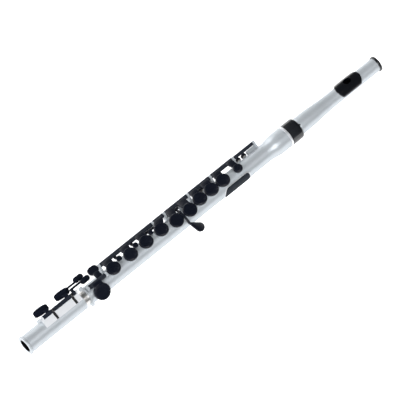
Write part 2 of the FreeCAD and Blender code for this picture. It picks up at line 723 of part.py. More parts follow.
def make_trill_keys():
    line = TRILL_LINE
    for label, touch_x, cup_x, tube, hub in (
            ("d_trill_key", (E_CUP + F_CUP) / 2, D_TRILL_CUP_X, (200.8, 398.0), (396.0, 407.6)),
            ("d_sharp_trill_key", (D_CUP + E_CUP) / 2, D_SHARP_TRILL_CUP_X, (171.2, 178.6),
             (408.0, 431.6))):
        walls, recess, pad = cup(label + "_cup", cup_x, TRILL_DEGREES, SEAT, cell("trill_cup_radius"))
        solids = list(walls)
        solids.append(rod_between(label + "_tube", line, tube[0], tube[1], THIN_TUBE))
        solids.append(rod_between(label + "_hub", line, hub[0], hub[1], 2.6))
        back = polar(amount(SEAT) + 3.4, TRILL_DEGREES)
        solids += bent_arm(label + "_back_arm", cup_x, 4.0, [line, back], 2.4)
        route = [line, (16.4, 9.0), UNDER_MAIN_ROD, (9.9, 15.4), (8.8, 18.7)]
        solids += bent_arm(label + "_arm", touch_x, 5.6, route, 2.2)
        solids += touch_plate(label + "_touch", touch_x, 4.1, 6.9, 3.9, 19.0, 2.4)
        key_on_shaft = label == "d_sharp_trill_key"
        make_trill_key(label, solids, [tube, hub], recess, pad, key_on_shaft)
    publish("trill_shaft", rod_between("trill_shaft", line, POSTS["first"] - 2.0, TRILL_END_POST + 2.2,
                                       THIN_ROD))


def make_trill_key(label, solids, tubes, recess, pad, fixed_on_shaft):
    """The D sharp trill key is fixed on the shaft; the D trill key turns on it."""
    bore = THIN_ROD if fixed_on_shaft else THIN_ROD + FIT
    bores = [rod_between(label + "_bore", TRILL_LINE, start - 0.1, end + 0.1, bore) for start, end in tubes]
    publish(label, cut(label, fuse(label + "_solid", solids), bores + [recess]))
    publish(label + "_pad", pad)


def make_side_lever():
    label, line = "side_b_flat_lever", LEVER_LINE
    tube = (SIDE_LEVER_POST + HALF_POST + END_PLAY, POSTS["f_sharp"] - HALF_POST - END_PLAY)
    touch_x = (F_CUP + F_SHARP_CUP) / 2
    solids = [rod_between(label + "_tube", line, tube[0], tube[1], THIN_TUBE)]
    route = [line, (9.9, 15.0), (8.8, 18.7)]
    solids += bent_arm(label + "_arm", touch_x, 5.0, route, 2.2)
    solids += touch_plate(label + "_touch", touch_x, 3.5, 7.4, 3.4, 19.0, 2.4)
    key(label, line, [tube], solids, [], [], THIN_ROD, 0.0)


def make_thumb_keys():
    line = THUMB_LINE
    break_x = 329.2
    route = [line, (16.6, -5.0), (11.6, -12.0)]
    tube = (break_x + END_PLAY, POSTS["c"] - HALF_POST - END_PLAY)
    walls, recess, pad = cup("thumb_cup", THUMB_CUP_X, THUMB_DEGREES, SEAT, cell("thumb_cup_radius"))
    solids = [rod_between("thumb_tube", line, tube[0], tube[1], THIN_TUBE)] + walls
    arm_root, arm_tip = (line[0] + 0.6, line[1]), polar(amount(SEAT) + 4.2, THUMB_DEGREES)
    solids.append(beam("thumb_cup_arm", THUMB_CUP_X, 6.0, arm_root, arm_tip, 2.4))
    solids += bent_arm("thumb_touch", break_x + 2.1, 3.6, route, 2.4)
    key("thumb_b_key", line, [tube], solids, [recess], [pad], THIN_ROD, 10.0)
    tube = (THUMB_POST + HALF_POST + END_PLAY, break_x)
    solids = [rod_between("thumb_tube", line, tube[0], tube[1], THIN_TUBE)]
    solids += bent_arm("thumb_lever", 324.4, 7.2, route, 2.4)
    key("thumb_b_flat_lever", line, [tube], solids, [], [], THIN_ROD, 8.0)


# ---- foot joint ---------------------------------------------------------------------------

FOOT_C_CUP, FOOT_C_SHARP_CUP = 47.0, 84.3
FOOT_CUP_DEGREES = 69.0
CLIPS = (56.2, 90.1)
CLIP_WIDTH = 3.6
FOOT_OPEN_DEGREES = 10.0


def in_block(toward_face, across):
    """Y and Z of a point given square to the foot block's flat face."""
    turn = math.radians(amount(cell("block_tilt")))
    return (across * math.cos(turn) - toward_face * math.sin(turn),
            across * math.sin(turn) + toward_face * math.cos(turn))


def make_foot_tube():
    rim, end = cell("foot_rim_radius"), cell("foot_end")
    core = turned("foot_core", [
        (0.0, 0.0),
        (0.0, rim - 0.6),
        (0.7, rim, 0.15),
        (2.3, rim),
        (3.8, TUBE, 0.2),
        (end, TUBE),
        (end, 0.0),
    ])
    tilt = amount(cell("block_tilt"))
    low, face, back = cell("block_low"), cell("block_face"), cell("block_back")
    block = box_at("foot_block", (cell("block_start"), low, amount(back) * -1),
                   (cell("block_end") - cell("block_start"), cell("foot_seat_radius") - low, face + back),
                   tilt)
    ears = []
    for x in (cell("block_start").value + 1.5, cell("block_end").value - 1.5):
        ears.append(rod_between("foot_ear", FOOT_LINE, x - 1.4, x + 1.4, 2.9))
        ears.append(beam("foot_ear_web", x, 2.8, in_block(11.0, 14.3), FOOT_LINE, 5.0))
    holes = []
    for x in (FOOT_C_CUP, FOOT_C_SHARP_CUP):
        holes.append(radial_bar("foot_hole", x, FOOT_CUP_DEGREES, 4.0, 22.0, 6.5))
    socket = cell("foot_socket_radius")
    bores = [
        rod_between("foot_bore", (0, 0), -1.0, cell("foot_socket_start") + 0.5, BORE),
        rod_between("foot_socket", (0, 0), cell("foot_socket_start"), end + 1, socket),
        rod_between("foot_groove", (0, 0), 95.95, 97.35, 12.05),
        rod_between("foot_rod_hole", FOOT_LINE, 30.0, 105.0, THIN_ROD),
    ]
    publish("foot_tube", cut("foot_tube", fuse("foot_solid", [core, block] + ears), bores + holes))
    publish("foot_socket_ring", o_ring("foot_socket_ring", 96.65, 11.38, 0.6))
    publish("foot_rod", rod_between("foot_rod", FOOT_LINE, 35.6, 100.2, THIN_ROD))


def make_foot_clips():
    pieces = []
    for x in CLIPS:
        pieces.append(rod_between("clip_eye", FOOT_LINE, x - CLIP_WIDTH / 2, x + CLIP_WIDTH / 2, 2.9))
        face = amount(cell("block_face"))
        pieces.append(box_at("clip_leg", (x - CLIP_WIDTH / 2, 0.9, face), (CLIP_WIDTH, 13.4, 1.5),
                             amount(cell("block_tilt"))))
    bores = [rod_between("clip_bore", FOOT_LINE, x - 3.0, x + 3.0, THIN_TUBE + FIT) for x in CLIPS]
    for x in CLIPS:
        face = amount(cell("block_face"))
        bores.append(box_at("clip_groove", (x - 0.4, 0.5, face + 1.0), (0.8, 10.0, 1.0),
                            amount(cell("block_tilt"))))
    publish("foot_rod_clips", cut("foot_rod_clips", fuse("clip_solid", pieces), bores))


def foot_arm(name, x, width):
    """The arm from the foot's rod, round the block's edge and on to a cup."""
    route = [FOOT_LINE, in_block(16.4, 18.6), in_block(12.5, 20.6), in_block(6.0, 20.8)]
    return bent_arm(name, x, width, route, 2.6)


def touch_bar(name, x_from, x_to, y, z):
    """A little finger bar with round ends, lying along X."""
    radius = 4.2
    pieces = [rod_between(name + "_middle", (y, z), x_from + radius, x_to - radius, radius)]
    for x in (x_from + radius, x_to - radius):
        end = doc.addObject("Part::Sphere", name + "_end")
        end.Radius = radius
        end.Placement = FreeCAD.Placement(FreeCAD.Vector(x, y, z), FreeCAD.Rotation())
        pieces.append(end)
    return pieces


def make_foot_keys():
    line = FOOT_LINE
    seat, radius, height = cell("foot_seat_radius"), cell("foot_cup_radius"), cell("foot_cup_height")
    half_clip = CLIP_WIDTH / 2 + END_PLAY
    start, end = 39.2, 96.8

    label = "low_c_key"
    walls, recess, pad = cup(label + "_cup", FOOT_C_CUP, FOOT_CUP_DEGREES, seat, radius, height)
    solids = list(walls) + foot_arm(label + "_arm", FOOT_C_CUP + 2.4, 6.4)
    solids.append(rod_between(label + "_inner_tube", line, start, end, THIN_TUBE))
    for hub in ((start, CLIPS[0] - half_clip), (CLIPS[0] + half_clip, 66.0), (CLIPS[1] + half_clip, end)):
        solids.append(rod_between(label + "_hub", line, hub[0], hub[1], 2.9))
    solids += bent_arm(label + "_reach", 94.6, 4.2, [line, in_block(16.4, 19.0), in_block(13.0, 20.3)], 2.4)
    solids.append(rod_between(label + "_bar", (14.3, 19.4), 92.6, 115.0, 1.5))
    solids += touch_bar(label + "_touch", 112.0, 127.6, 13.6, 16.8)
    key(label, line, [(start, end)], solids, [recess], [pad], THIN_ROD, FOOT_OPEN_DEGREES)

    label = "low_c_sharp_key"
    walls, recess, pad = cup(label + "_cup", FOOT_C_SHARP_CUP, FOOT_CUP_DEGREES, seat, radius, height)
    solids = list(walls) + foot_arm(label + "_arm", FOOT_C_SHARP_CUP - 1.0, 6.4)
    tube = (66.0 + END_PLAY, CLIPS[1] - half_clip)
    solids.append(rod_between(label + "_tube", line, tube[0], tube[1], 2.9))
    solids.append(rod_between(label + "_bar", (20.2, 12.4), FOOT_C_SHARP_CUP, 110.0, 1.4))
    solids += touch_bar(label + "_touch", 107.0, 123.2, 22.0, 11.5)
    key(label, line, [tube], solids, [recess], [pad], THIN_TUBE, FOOT_OPEN_DEGREES)


# ---- head joint ---------------------------------------------------------------------------

HEAD_RINGS = (448.0, 478.0)
RING_WIRE = 0.58
RISER_WALL = 0.8


def make_head_tube():
    tenon, root, neck = cell("tenon_radius"), cell("head_root_radius"), cell("head_neck_radius")
    start, shoulder = cell("head_start"), cell("head_shoulder")
    groove_floor = tenon - 1.2
    outline = [(start, 0.0), (start, tenon - 0.6), (start + 0.6, tenon)]
    for x in HEAD_RINGS:
        outline += [(x - 0.65, tenon), (x - 0.65, groove_floor), (x + 0.65, groove_floor), (x + 0.65, tenon)]
    outline += [(shoulder, tenon), (shoulder, root - 0.35), (shoulder + 1.0, root), (shoulder + 6.5, root)]
    outline += eased(shoulder + 6.5, root, cell("lip_centre") - 27.0, neck)
    outline += [(cell("lip_centre") + 25.0, neck), (cell("head_end"), cell("head_tip_radius")),
                (cell("head_end"), 0.0)]
    core = turned("head_core", outline)
    narrow_from = 585.0
    bores = [
        rod_between("head_wide_bore", (0, 0), start - 1, 500.0, BORE),
        rod_between("head_narrow_bore", (0, 0), narrow_from, cell("head_end") + 1, cell("head_bore_radius")),
        blow_hole("head_riser_seat", 4.0, RISER_WALL),
    ]
    taper = doc.addObject("Part::Cone", "head_taper")
    bind(taper, "Radius1", BORE)
    bind(taper, "Radius2", cell("head_bore_radius"))
    taper.Height = narrow_from - 500.0
    taper.Placement = FreeCAD.Placement(FreeCAD.Vector(500.0, 0, 0), ALONG_X)
    publish("head_tube", cut("head_tube", core, bores + [taper]))
    publish("head_tenon_rings", fuse("head_tenon_rings", [
        o_ring("head_ring", x, amount(tenon) - RING_WIRE + 0.02, RING_WIRE) for x in HEAD_RINGS]))


def oval_column(name, centre_x, angle, from_radius, half_long, half_short):
    """A column of oval section that stands out from the bore's axis."""
    oval = doc.addObject("Part::Ellipse", name + "_oval")
    bind(oval, "MajorRadius", half_long)
    bind(oval, "MinorRadius", half_short)
    column = doc.addObject("Part::Extrusion", name)
    column.Base = oval
    column.Dir = Z_AXIS
    column.LengthFwd = 24.0
    column.Solid = True
    y, z = polar(from_radius, angle)
    column.Placement = FreeCAD.Placement(FreeCAD.Vector(centre_x, y, z), FreeCAD.Rotation(X_AXIS, -angle))
    return column


def blow_hole(name, from_radius, wall=0.0):
    """The embouchure hole as a tool, or the outside of its riser if a wall is given."""
    return oval_column(name, amount(cell("blow_hole_x")), amount(cell("blow_hole_angle")), from_radius,
                       cell("blow_hole_long") + wall, cell("blow_hole_short") + wall)


def make_lip_plate():
    centre, half, radius = cell("lip_centre"), cell("lip_half_length"), cell("lip_radius")
    barrel = turned("lip_barrel", [
        (centre - half, 0.0),
        (centre - half, radius - 1.2),
        (centre - half + 1.6, radius - 0.45, 0.35),
        (centre, radius, 0.15),
        (centre + half - 1.6, radius - 0.45, 0.15),
        (centre + half, radius - 1.2, 0.35),
        (centre + half, 0.0),
    ])
    angle, depth = amount(cell("lip_edge_angle")), amount(cell("lip_edge_depth"))
    kept = box_at("lip_kept", (centre - half - 1.0, -16.0, -depth), (half * 2 + 2.0, 32.0, 24.0), -angle)
    outline = oval_column("lip_outline", amount(centre), 0.0, -8.0, half, cell("lip_half_width"))
    blank = common("lip_blank", common("lip_shape", barrel, outline), kept)
    saddle = cut("lip_saddle", blank, [rod_between("lip_tube_hole", (0, 0), 560.0, 625.0,
                                                   cell("head_neck_radius"))])
    riser_blank = common("lip_riser_blank", barrel, blow_hole("lip_riser_wall", 4.0, RISER_WALL))
    riser = cut("lip_riser", riser_blank, [rod_between("lip_riser_bore", (0, 0), 560.0, 625.0, 8.7)])
    publish("lip_plate", cut("lip_plate", fuse("lip_solid", [saddle, riser]), [blow_hole("lip_blow_hole", 4.0)]))


def make_stopper_and_crown():
    face, length, radius = cell("stopper_face"), cell("stopper_length"), cell("stopper_radius")
    middle = face + length * 0.5
    publish("stopper_plug", turned("stopper_plug", [
        (face, 0.0),
        (face, radius - 0.4),
        (face + 0.4, radius),
        (middle - 0.65, radius),
        (middle - 0.65, radius - 1.15),
        (middle + 0.65, radius - 1.15),
        (middle + 0.65, radius),
        (face + length, radius),
        (face + length, 0.0),
    ]))
    publish("stopper_ring", o_ring("stopper_ring", amount(middle), amount(radius) - RING_WIRE + 0.06, RING_WIRE))
    publish("stopper_screw", rod_between("stopper_screw", (0, 0), face + length, 647.6,
                                         cell("stopper_screw_radius")))
    cap_start, cap_radius, tip = cell("head_end") + 0.1, cell("crown_radius"), cell("flute_end")
    crown = turned("crown_wall", [
        (636.0, 0.0),
        (636.0, radius),
        (cap_start, radius),
        (cap_start, cap_radius - 0.6),
        (cap_start + 0.6, cap_radius, 0.15),
        (tip - 3.0, cap_radius),
        (tip - 0.6, 7.0, 1.6),
        (tip, 4.0),
        (tip, 0.0),
    ])
    thread = rod_between("crown_thread", (0, 0), 635.0, 649.2, cell("stopper_screw_radius") + FIT)
    publish("crown_cap", cut("crown_cap", crown, [thread]))


# ---- build, check and write ---------------------------------------------------------------

def check_objects():
    """Stop if any object failed, or if a sub-part has no valid solid."""
    for item in doc.Objects:
        if "Invalid" in item.State or "Error" in item.State:
            raise RuntimeError("object failed: %s %s" % (item.Name, item.State))
    for label, item in nodes.items():
        shape = item.Shape
        if shape.isNull() or not shape.isValid() or not shape.Solids:
            raise RuntimeError("no valid solid in " + label)


make_body_tube()
make_body_fittings()
make_main_keys()
make_d_sharp_key()
make_g_sharp_key()
make_trill_keys()
make_side_lever()
make_thumb_keys()
make_foot_tube()
make_foot_clips()
make_foot_keys()
make_head_tube()
make_lip_plate()
make_stopper_and_crown()
doc.recompute()
check_objects()
os.makedirs("parts", exist_ok=True)
for label, item in nodes.items():
    item.Shape.exportStep("parts/%s.step" % label)
    print("%-28s solids %2d volume %10.1f" % (label, len(item.Shape.Solids), item.Shape.Volume))
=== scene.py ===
"""Looks of the concert flute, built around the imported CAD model, in the CAD frame.

Lengths are in metres, except where a comment says millimetres.
"""
import json
import math

import bmesh
import bpy
from mathutils import Matrix, Vector


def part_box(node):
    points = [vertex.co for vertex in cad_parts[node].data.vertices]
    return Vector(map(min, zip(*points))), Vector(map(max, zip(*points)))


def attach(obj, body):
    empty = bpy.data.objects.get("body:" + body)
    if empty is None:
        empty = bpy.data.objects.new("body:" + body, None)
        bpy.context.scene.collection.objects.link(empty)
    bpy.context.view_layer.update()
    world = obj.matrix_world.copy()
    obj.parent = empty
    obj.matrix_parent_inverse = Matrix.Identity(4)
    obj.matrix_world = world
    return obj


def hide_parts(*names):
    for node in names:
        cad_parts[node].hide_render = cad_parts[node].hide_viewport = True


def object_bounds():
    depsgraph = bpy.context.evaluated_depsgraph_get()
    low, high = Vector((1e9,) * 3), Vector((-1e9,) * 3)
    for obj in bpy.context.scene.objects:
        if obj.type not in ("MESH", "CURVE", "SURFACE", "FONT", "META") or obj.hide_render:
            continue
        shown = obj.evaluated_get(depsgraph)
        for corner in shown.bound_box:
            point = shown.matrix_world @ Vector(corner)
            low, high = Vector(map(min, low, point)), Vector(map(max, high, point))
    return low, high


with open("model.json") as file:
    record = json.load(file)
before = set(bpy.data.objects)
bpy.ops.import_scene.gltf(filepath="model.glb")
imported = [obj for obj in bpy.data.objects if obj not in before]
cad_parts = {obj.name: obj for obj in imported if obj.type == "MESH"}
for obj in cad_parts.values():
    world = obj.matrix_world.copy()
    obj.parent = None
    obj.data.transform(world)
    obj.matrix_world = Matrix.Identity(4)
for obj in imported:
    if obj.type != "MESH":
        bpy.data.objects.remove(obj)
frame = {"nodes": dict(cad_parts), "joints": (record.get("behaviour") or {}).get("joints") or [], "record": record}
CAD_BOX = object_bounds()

MM = 0.001
JOINTS = {joint["child"]: joint for joint in frame["joints"]}
SLOT_OF = {part["node"]: part["material_slot"] for part in frame["record"]["subparts"]}


# ---- materials ----------------------------------------------------------------------------

COAT_ROUGHNESS = 0.1
WORN_BLACK = (0.02, 0.024, 0.034)
# Painted shade: the nearly black colour painted inside the bore.
BORE_PAINTED_SHADE = (0.004, 0.004, 0.005)
# Painted highlight: the paler silver painted on the foot block's flat face.
BLOCK_PAINTED_HIGHLIGHT = (0.80, 0.82, 0.85)
SILVER_SHEEN = (0.42, 0.43, 0.45, 1)

# The foot's block: how far its flat face leans, its height from the bore's axis, and its ends.
BLOCK_TILT = math.radians(21.0)
BLOCK_FACE = 13.2 * MM
BLOCK_ENDS = 30.0 * MM, 100.0 * MM
INSIDE_BORE = 9.7 * MM


def new_material(name, colour, roughness, metallic=0.0, coat=0.0):
    material = bpy.data.materials.new(name)
    material.use_nodes = True
    shader = material.node_tree.nodes["Principled BSDF"]
    shader.inputs["Base Color"].default_value = (*colour, 1)
    shader.inputs["Roughness"].default_value = roughness
    shader.inputs["Metallic"].default_value = metallic
    shader.inputs["Coat Weight"].default_value = coat
    shader.inputs["Coat Roughness"].default_value = COAT_ROUGHNESS
    return material, material.node_tree, shader


def feed(tree, socket, value):
    """Give a socket another node's output, a colour of three numbers, or one number."""
    if isinstance(value, bpy.types.NodeSocket):
        tree.links.new(value, socket)
    elif isinstance(value, tuple):
        socket.default_value = (*value, 1)
    else:
        socket.default_value = value


def noise(tree, scale, detail, roughness=0.5, stretch=(1, 1, 1)):
    """Noise in the CAD frame; scale is in features per metre, before the stretch."""
    place = tree.nodes.new("ShaderNodeTexCoord")
    mapping = tree.nodes.new("ShaderNodeMapping")
    mapping.inputs["Scale"].default_value = stretch
    texture = tree.nodes.new("ShaderNodeTexNoise")
    texture.inputs["Scale"].default_value = scale
    texture.inputs["Detail"].default_value = detail
    texture.inputs["Roughness"].default_value = roughness
    tree.links.new(place.outputs["Object"], mapping.inputs["Vector"])
    tree.links.new(mapping.outputs["Vector"], texture.inputs["Vector"])
    return texture.outputs["Fac"]


def remap(tree, value, low, high, from_low=0.3, from_high=0.7):
    """A value from one range to another, for roughness and factors."""
    node = tree.nodes.new("ShaderNodeMapRange")
    node.inputs["From Min"].default_value = from_low
    node.inputs["From Max"].default_value = from_high
    node.inputs["To Min"].default_value = low
    node.inputs["To Max"].default_value = high
    tree.links.new(value, node.inputs["Value"])
    return node.outputs["Result"]


def mixed(tree, factor, first, second):
    """The first colour where the factor is 0, and the second where it is 1."""
    mix = tree.nodes.new("ShaderNodeMix")
    mix.data_type = "RGBA"
    feed(tree, mix.inputs["A"], first)
    feed(tree, mix.inputs["B"], second)
    tree.links.new(factor, mix.inputs["Factor"])
    return mix.outputs["Result"]


def maths(tree, operation, first, second):
    node = tree.nodes.new("ShaderNodeMath")
    node.operation = operation
    feed(tree, node.inputs[0], first)
    feed(tree, node.inputs[1], second)
    return node.outputs[0]


def vector_maths(tree, operation, vector, other=(0, 0, 0)):
    node = tree.nodes.new("ShaderNodeVectorMath")
    node.operation = operation
    node.inputs[1].default_value = other
    tree.links.new(vector, node.inputs[0])
    return node.outputs


def bump(tree, shader, height, distance):
    node = tree.nodes.new("ShaderNodeBump")
    node.inputs["Distance"].default_value = distance
    node.inputs["Strength"].default_value = 1.0
    tree.links.new(height, node.inputs["Height"])
    tree.links.new(node.outputs["Normal"], shader.inputs["Normal"])


def edge_wear(tree):
    """About 1 on sharp outside edges and 0 on flat ground, from the shape's own pointiness."""
    geometry = tree.nodes.new("ShaderNodeNewGeometry")
    return remap(tree, geometry.outputs["Pointiness"], 0.0, 1.0, 0.51, 0.57)


def plastic(name, colour, other, roughness, spread, grain, depth, metallic=0.0, coat=0.0, worn=None,
            gloss=0.5):
    """Moulded plastic: a slow mottle in the colour and fine grain in the gloss.

    Where a worn colour is given, the edges are rubbed to it. Grain is in features per metre.
    """
    material, tree, shader = new_material(name, colour, roughness, metallic, coat)
    shader.inputs["Specular IOR Level"].default_value = gloss
    tone = mixed(tree, remap(tree, noise(tree, 60, 4.0), 0.0, 1.0), colour, other)
    if worn:
        tone = mixed(tree, edge_wear(tree), tone, worn)
    tree.links.new(tone, shader.inputs["Base Color"])
    fine = noise(tree, grain, 4.0, 0.6)
    handled = noise(tree, 35, 5.0, 0.7, (0.5, 1, 1))
    both = maths(tree, "ADD", remap(tree, fine, 0.0, spread * 0.5), remap(tree, handled, 0.0, spread))
    tree.links.new(maths(tree, "ADD", both, roughness), shader.inputs["Roughness"])
    bump(tree, shader, fine, depth)
    return material


def turned_metal(name, colour, other, roughness):
    """Drawn steel: fine scratches along X, with a faint stain."""
    material, tree, shader = new_material(name, colour, roughness, 1.0)
    stain = remap(tree, noise(tree, 90, 5.0), 0.0, 1.0)
    tree.links.new(mixed(tree, stain, colour, other), shader.inputs["Base Color"])
    lines = noise(tree, 2500, 3.0, 0.6, (0.02, 1, 1))
    tree.links.new(remap(tree, lines, roughness - 0.08, roughness + 0.14), shader.inputs["Roughness"])
    bump(tree, shader, lines, 0.00001)
    return material


def rubber(name, colour, other, roughness, pitch, depth):
    """Moulded rubber with a fine leathery grain; pitch is from one grain to the next."""
    material, tree, shader = new_material(name, colour, roughness)
    shader.inputs["Specular IOR Level"].default_value = 0.25
    cells = tree.nodes.new("ShaderNodeTexVoronoi")
    cells.inputs["Scale"].default_value = 1 / pitch
    place = tree.nodes.new("ShaderNodeTexCoord")
    tree.links.new(place.outputs["Object"], cells.inputs["Vector"])
    dust = remap(tree, noise(tree, 140, 5.0), 0.0, 1.0)
    tree.links.new(mixed(tree, dust, colour, other), shader.inputs["Base Color"])
    tree.links.new(remap(tree, cells.outputs["Distance"], roughness - 0.08, roughness + 0.08, 0.0, 0.6),
                   shader.inputs["Roughness"])
    bump(tree, shader, cells.outputs["Distance"], depth)
    return material


def retint(tree, shader, factor, colour):
    """Where the factor is 1, the base colour becomes this one."""
    base = shader.inputs["Base Color"]
    tree.links.new(mixed(tree, factor, base.links[0].from_socket, colour), base)


def silver_tube():
    """Satin silver outside, with painted shade making it nearly black inside the bore, and a painted highlight
    making the foot block's flat face paler.
    """
    material = plastic("silver_plastic", (0.545, 0.585, 0.622), (0.505, 0.543, 0.578), roughness=0.31,
                       spread=0.07, grain=3000, depth=0.000012, metallic=0.36, coat=0.1, gloss=0.4)
    tree = material.node_tree
    shader = tree.nodes["Principled BSDF"]
    shader.inputs["Specular Tint"].default_value = SILVER_SHEEN
    place = tree.nodes.new("ShaderNodeTexCoord").outputs["Object"]
    split = tree.nodes.new("ShaderNodeSeparateXYZ")
    tree.links.new(place, split.inputs["Vector"])
    along = split.outputs["X"]
    from_axis = vector_maths(tree, "MULTIPLY", place, (0, 1, 1))["Vector"]
    radius = vector_maths(tree, "LENGTH", from_axis)["Value"]
    square_to_face = (0, -math.sin(BLOCK_TILT), math.cos(BLOCK_TILT))
    height = vector_maths(tree, "DOT_PRODUCT", place, square_to_face)["Value"]
    # Painted highlight: the foot block's flat face is painted a paler silver, as if it caught more light.
    painted_highlight_on_block = maths(tree, "GREATER_THAN", height, BLOCK_FACE)
    for operation, limit in zip(("GREATER_THAN", "LESS_THAN"), BLOCK_ENDS):
        painted_highlight_on_block = maths(tree, "MULTIPLY", painted_highlight_on_block, maths(tree, operation, along, limit))
    retint(tree, shader, painted_highlight_on_block, BLOCK_PAINTED_HIGHLIGHT)
    # Painted shade: the inside of the bore is painted nearly black.
    retint(tree, shader, maths(tree, "LESS_THAN", radius, INSIDE_BORE), BORE_PAINTED_SHADE)
    return material


MATERIALS = {
    "tube_plastic": silver_tube(),
    "bright_plastic": plastic(
        "light_silver", (0.78, 0.80, 0.83), (0.72, 0.74, 0.77), roughness=0.22, spread=0.08, grain=3000,
        depth=0.000010, metallic=0.5, coat=0.4),
    "black_plastic": plastic(
        "polished_black", (0.0014, 0.0022, 0.0040), (0.0026, 0.0036, 0.0060), roughness=0.07, spread=0.08,
        grain=2200, depth=0.000012, coat=0.25, worn=(0.02, 0.022, 0.026)),
    "key_plastic": plastic(
        "satin_black", (0.0034, 0.0050, 0.0105), (0.0050, 0.0068, 0.0135), roughness=0.20, spread=0.12,
        grain=2600, depth=0.000018, coat=0.04, worn=WORN_BLACK, gloss=0.16),
    "foot_key_plastic": plastic(
        "matte_black", (0.0040, 0.0056, 0.0108), (0.0058, 0.0076, 0.0140), roughness=0.46, spread=0.12,
        grain=2600, depth=0.000018, worn=WORN_BLACK, gloss=0.0),
    "rest_rubber": rubber("slate_rubber", (0.008, 0.012, 0.019), (0.014, 0.019, 0.028), roughness=0.62,
                          pitch=0.0011, depth=0.00006),
    "pad_rubber": rubber("pad_silicone", (0.42, 0.40, 0.37), (0.50, 0.48, 0.45), roughness=0.7,
                         pitch=0.0009, depth=0.00004),
    "ring_rubber": rubber("ring_rubber", (0.012, 0.012, 0.012), (0.03, 0.03, 0.03), roughness=0.5,
                          pitch=0.0008, depth=0.00002),
    "sleeve_metal": turned_metal("sleeve_steel", (0.66, 0.655, 0.645), (0.55, 0.54, 0.525), 0.28),
    "rod_metal": turned_metal("rod_steel", (0.34, 0.34, 0.35), (0.24, 0.24, 0.25), 0.25),
    "spring_metal": turned_metal("spring_steel", (0.66, 0.66, 0.66), (0.5, 0.5, 0.5), 0.2),
}


# ---- mesh building ------------------------------------------------------------------------

ALONG_X = Matrix.Rotation(math.pi / 2, 4, "Y")
ON_AXIS = 1e-7
CORNER_STEPS = 3
PATH_STEPS = 6
RIM_STEPS = 8
ARM_SIDES, TUBE_SIDES, ROLLER_SIDES, CUP_SIDES = 16, 32, 36, 72
TUBE_EASE = 0.25 * MM
ARM_DOME = 0.25 * MM
ARM_TIP = 0.8
SMOOTH_UNDER = math.radians(40.0)


def ring_of(bm, points):
    return [bm.verts.new(point) for point in points]


def bridge(bm, first, second):
    """Faces between two closed rings of equal count."""
    for index in range(len(first)):
        after = (index + 1) % len(first)
        bm.faces.new((first[index], first[after], second[after], second[index]))


def cap(bm, ring, centre, flip=False):
    """A fan of faces from a ring to its middle."""
    middle = bm.verts.new(centre)
    for index, vert in enumerate(ring):
        after = ring[(index + 1) % len(ring)]
        bm.faces.new((middle, after, vert) if flip else (middle, vert, after))


def lathe(bm, place, profile, segments):
    """A closed ring shape: profile points are (radius, height) about the placement's own Z."""
    rings = []
    for radius, height in profile:
        if radius < ON_AXIS:
            rings.append(None)
            continue
        ring = []
        for step in range(segments):
            turn = 2 * math.pi * step / segments
            ring.append(place @ Vector((radius * math.cos(turn), radius * math.sin(turn), height)))
        rings.append(ring_of(bm, ring))
    for first, second, here, after in zip(rings, rings[1:], profile, profile[1:]):
        if first is None and second is not None:
            cap(bm, second, place @ Vector((0, 0, here[1])), True)
        elif second is None and first is not None:
            cap(bm, first, place @ Vector((0, 0, after[1])))
        elif first is not None:
            bridge(bm, first, second)
    if rings[0] is not None and rings[-1] is not None:
        bridge(bm, rings[-1], rings[0])


def rounded(profile, radius):
    """The profile with each corner cut back into a small arc."""
    result = [profile[0]]
    for before, corner, after in zip(profile, profile[1:], profile[2:]):
        a, b, c = Vector(before), Vector(corner), Vector(after)
        reach = min(radius, (a - b).length * 0.45, (c - b).length * 0.45)
        start, end = b + (a - b).normalized() * reach, b + (c - b).normalized() * reach
        for step in range(CORNER_STEPS + 1):
            t = step / CORNER_STEPS
            point = start * (1 - t) ** 2 + b * 2 * t * (1 - t) + end * t ** 2
            result.append((point.x, point.y))
    result.append(profile[-1])
    return result


def tube(bm, line, x_from, x_to, outer, inner):
    """A hinge tube along X with eased ends; all its lengths are in millimetres."""
    place = Matrix.Translation((x_from * MM, *(line * MM))) @ ALONG_X
    length = (x_to - x_from) * MM
    bore, wall = inner * MM, outer * MM
    profile = [(bore, 0.0), (wall - TUBE_EASE, 0.0), (wall, TUBE_EASE), (wall, length - TUBE_EASE),
               (wall - TUBE_EASE, length), (bore, length)]
    lathe(bm, place, profile, TUBE_SIDES)


def smooth_path(points):
    """Points along a Catmull-Rom line through the given ones."""
    points = [Vector(point) for point in points]
    ends = [points[0] * 2 - points[1]] + points + [points[-1] * 2 - points[-2]]
    path = []
    for p0, p1, p2, p3 in zip(ends, ends[1:], ends[2:], ends[3:]):
        for step in range(PATH_STEPS):
            t = step / PATH_STEPS
            path.append(0.5 * (2 * p1 + (p2 - p0) * t + (2 * p0 - 5 * p1 + 4 * p2 - p3) * t ** 2
                               + (3 * p1 - p0 - 3 * p2 + p3) * t ** 3))
    path.append(points[-1])
    return path


